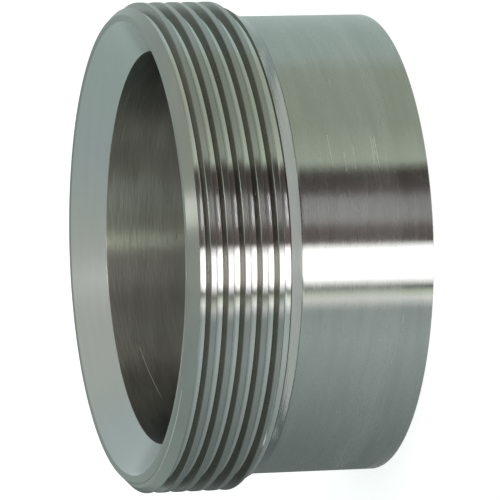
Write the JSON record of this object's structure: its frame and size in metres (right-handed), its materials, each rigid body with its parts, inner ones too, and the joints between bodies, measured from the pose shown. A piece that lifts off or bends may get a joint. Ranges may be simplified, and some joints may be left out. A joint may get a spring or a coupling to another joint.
{
  "type": "threaded bevel seat ferrule",
  "caption": "Short thick-walled tube end turned in one piece, its wider head carrying a coarse trapezoidal thread outside and a conical seat in its mouth.",
  "frame": {"origin": "centre of the tube end's face, which the part stands on", "axes": "+Z along the axis from the tube end to the threaded mouth; +X and +Y square to it, the thread's groove crossing the front face's plane at 225 degrees from +X"},
  "size_m": [0.092, 0.092, 0.0467],
  "materials": {
    "turned_steel": "fine turned, with faint rings from the tool"
  },
  "bodies": {
    "root": {"ferrule": "turned_steel"}
  },
  "joints": []
}
